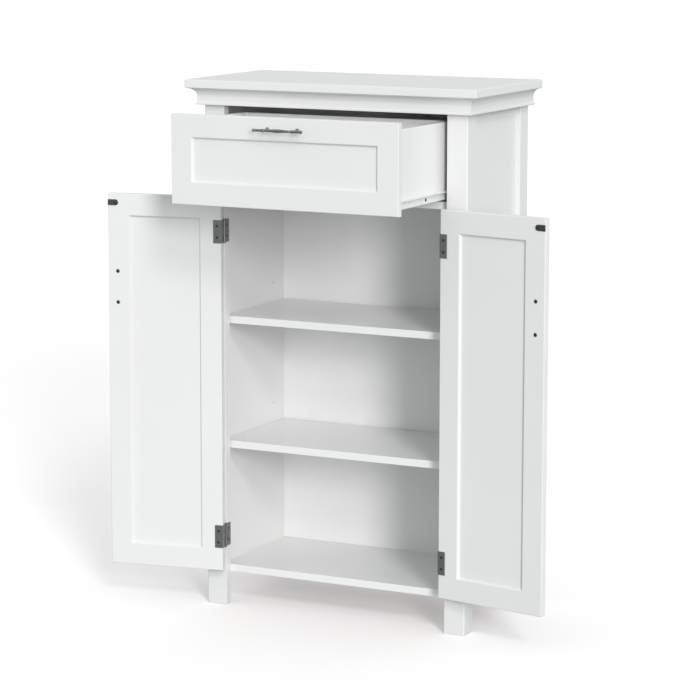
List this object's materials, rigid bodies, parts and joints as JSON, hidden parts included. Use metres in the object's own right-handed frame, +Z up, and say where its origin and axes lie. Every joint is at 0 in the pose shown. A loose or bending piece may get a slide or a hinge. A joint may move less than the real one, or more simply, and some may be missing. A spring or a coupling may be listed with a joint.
{
  "type": "storage cabinet",
  "caption": "Free-standing white cabinet on post legs: a framed drawer above a pair of framed hinged doors, loose shelves inside and a crown moulding under an overhanging top.",
  "frame": {"origin": "on the floor, under the middle of the box that the object fills as it rests, with its drawer out and its doors open", "axes": "+Z up, +Y from the front to the back, +X to the right as seen from the front"},
  "size_m": [0.9662, 0.5325, 1.08],
  "materials": {
    "white_paint": "satin white paint on fibreboard",
    "white_foil": "white foil on fibreboard, fine texture",
    "rail_coating": "white epoxy coat",
    "hinge_steel": "dark satin",
    "strike_steel": "dark ribbed plate",
    "screw_steel": "dark zinc",
    "pin_zinc": "zinc plated",
    "handle_chrome": "polished",
    "roller_nylon": "moulded nylon",
    "catch_plastic": "moulded"
  },
  "bodies": {
    "cabinet": {"top_board": "white_paint", "crown_front": "white_paint", "crown_left": "white_paint", "crown_right": "white_paint", "top_rail": "white_paint", "front_stile_left": "white_paint", "front_stile_right": "white_paint", "side_stile_front_left": "white_paint", "side_stile_front_right": "white_paint", "side_stile_back_left": "white_paint", "side_stile_back_right": "white_paint", "side_panel_left": "white_paint", "side_panel_right": "white_paint", "back_panel": "white_foil", "bottom_board": "white_foil", "divider_board": "white_foil", "shelf_lower": "white_foil", "shelf_upper": "white_foil", "shelf_pins": "pin_zinc", "rail_blocks": "white_foil", "slide_rail_left": "rail_coating", "slide_rail_right": "rail_coating", "door_catches": "catch_plastic", "hinge_post_leaves_left": "hinge_steel", "hinge_post_leaves_right": "hinge_steel", "cabinet_screws": "screw_steel"},
    "drawer": {"drawer_stile_left": "white_paint", "drawer_stile_right": "white_paint", "drawer_rail_top": "white_paint", "drawer_rail_bottom": "white_paint", "drawer_panel": "white_paint", "drawer_side_left": "white_foil", "drawer_side_right": "white_foil", "drawer_back": "white_foil", "drawer_base": "white_foil", "drawer_runners": "rail_coating", "drawer_handle": "handle_chrome", "drawer_screws": "screw_steel"},
    "left_door": {"left_door_stile_hinge": "white_paint", "left_door_stile_free": "white_paint", "left_door_rail_top": "white_paint", "left_door_rail_bottom": "white_paint", "left_door_panel": "white_paint", "left_door_hinge_leaves": "hinge_steel", "left_door_handle": "handle_chrome", "left_door_strike_plate": "strike_steel", "left_door_screws": "screw_steel"},
    "right_door": {"right_door_stile_hinge": "white_paint", "right_door_stile_free": "white_paint", "right_door_rail_top": "white_paint", "right_door_rail_bottom": "white_paint", "right_door_panel": "white_paint", "right_door_hinge_leaves": "hinge_steel", "right_door_handle": "handle_chrome", "right_door_strike_plate": "strike_steel", "right_door_screws": "screw_steel"},
    "front_roller_left": {"front_roller_left": "roller_nylon"},
    "front_roller_right": {"front_roller_right": "roller_nylon"},
    "rear_roller_left": {"rear_roller_left": "roller_nylon"},
    "rear_roller_right": {"rear_roller_right": "roller_nylon"}
  },
  "joints": [
    {"name": "drawer_slide", "type": "slide", "parent": "cabinet", "child": "drawer", "axis": [0, -1, 0], "range_m": [-0.212, 0.005]},
    {"name": "left_door_hinge", "type": "hinge", "parent": "cabinet", "child": "left_door", "pos_m": [-0.2446, -0.03175, 0.077], "axis": [0, 0, -1], "range_deg": [-169.5, 10]},
    {"name": "right_door_hinge", "type": "hinge", "parent": "cabinet", "child": "right_door", "pos_m": [0.2446, -0.03175, 0.077], "axis": [0, 0, 1], "range_deg": [-169.5, 10]},
    {"name": "front_roller_left_spin", "type": "hinge", "parent": "cabinet", "child": "front_roller_left", "pos_m": [-0.24, -0.00275, 0.8708], "axis": [1, 0, 0], "range_deg": [-2044, 60]},
    {"name": "front_roller_right_spin", "type": "hinge", "parent": "cabinet", "child": "front_roller_right", "pos_m": [0.24, -0.00275, 0.8708], "axis": [1, 0, 0], "range_deg": [-2044, 60]},
    {"name": "rear_roller_left_spin", "type": "hinge", "parent": "drawer", "child": "rear_roller_left", "pos_m": [-0.24, 0.01625, 0.87], "axis": [1, 0, 0], "range_deg": [-2044, 60]},
    {"name": "rear_roller_right_spin", "type": "hinge", "parent": "drawer", "child": "rear_roller_right", "pos_m": [0.24, 0.01625, 0.87], "axis": [1, 0, 0], "range_deg": [-2044, 60]}
  ],
  "couplings": [
    {"joint": "front_roller_left_spin", "follows": "drawer_slide", "rad_per_m": 166.67},
    {"joint": "front_roller_right_spin", "follows": "drawer_slide", "rad_per_m": 166.67},
    {"joint": "rear_roller_left_spin", "follows": "drawer_slide", "rad_per_m": 166.67},
    {"joint": "rear_roller_right_spin", "follows": "drawer_slide", "rad_per_m": 166.67}
  ]
}
